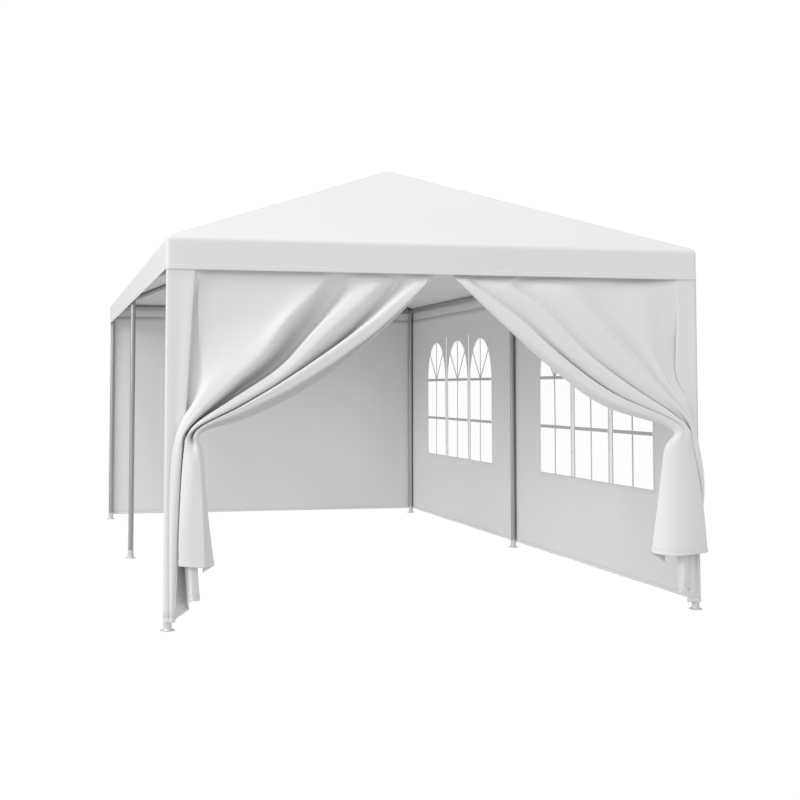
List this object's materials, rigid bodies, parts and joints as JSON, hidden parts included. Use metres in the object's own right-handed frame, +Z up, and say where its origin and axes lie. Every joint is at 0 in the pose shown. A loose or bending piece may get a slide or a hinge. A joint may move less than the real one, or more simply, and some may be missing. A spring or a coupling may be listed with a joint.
{
  "type": "marquee tent",
  "caption": "Hip-roofed party tent: steel tube frame on round feet, white cover with valances, walls with arched windows and curtains tied back at the front.",
  "frame": {"origin": "on the ground, under the middle of the tent", "axes": "+Z up, +Y from the curtained front to the plain back wall, +X to the right side with the windows when the front is faced"},
  "size_m": [3.076, 6.076, 2.6586],
  "materials": {
    "frame_tube": "smooth white-grey coated steel tube",
    "connector_steel": "welded steel sleeves, satin",
    "foot_steel": "pressed steel foot, satin",
    "roof_fabric": "white woven polyethylene sheet, slightly glossy",
    "wall_fabric": "white woven polyethylene sheet",
    "curtain_fabric": "white woven polyethylene sheet, gathered",
    "window_film": "clear soft film"
  },
  "bodies": {
    "root": {"back_eave_tube": "frame_tube", "back_left_connector": "connector_steel", "back_left_foot": "foot_steel", "back_left_hip_rafter": "frame_tube", "back_left_post": "frame_tube", "back_ridge_connector": "connector_steel", "back_ridge_tube": "frame_tube", "back_right_connector": "connector_steel", "back_right_foot": "foot_steel", "back_right_hip_rafter": "frame_tube", "back_right_post": "frame_tube", "back_wall": "wall_fabric", "front_eave_tube": "frame_tube", "front_left_connector": "connector_steel", "front_left_foot": "foot_steel", "front_left_hip_rafter": "frame_tube", "front_left_post": "frame_tube", "front_ridge_connector": "connector_steel", "front_ridge_tube": "frame_tube", "front_right_connector": "connector_steel", "front_right_foot": "foot_steel", "front_right_hip_rafter": "frame_tube", "front_right_post": "frame_tube", "left_back_eave_tube": "frame_tube", "left_curtain": "curtain_fabric", "left_front_eave_tube": "frame_tube", "mid_left_connector": "connector_steel", "mid_left_foot": "foot_steel", "mid_left_post": "frame_tube", "mid_left_rafter": "frame_tube", "mid_ridge_connector": "connector_steel", "mid_right_connector": "connector_steel", "mid_right_foot": "foot_steel", "mid_right_post": "frame_tube", "mid_right_rafter": "frame_tube", "right_back_eave_tube": "frame_tube", "right_back_wall": "wall_fabric", "right_back_window": "window_film", "right_curtain": "curtain_fabric", "right_front_eave_tube": "frame_tube", "right_front_wall": "wall_fabric", "right_front_window": "window_film", "roof_back": "roof_fabric", "roof_front": "roof_fabric", "roof_left": "roof_fabric", "roof_right": "roof_fabric", "valance_back": "roof_fabric", "valance_front": "roof_fabric", "valance_left": "roof_fabric", "valance_right": "roof_fabric"}
  },
  "joints": []
}
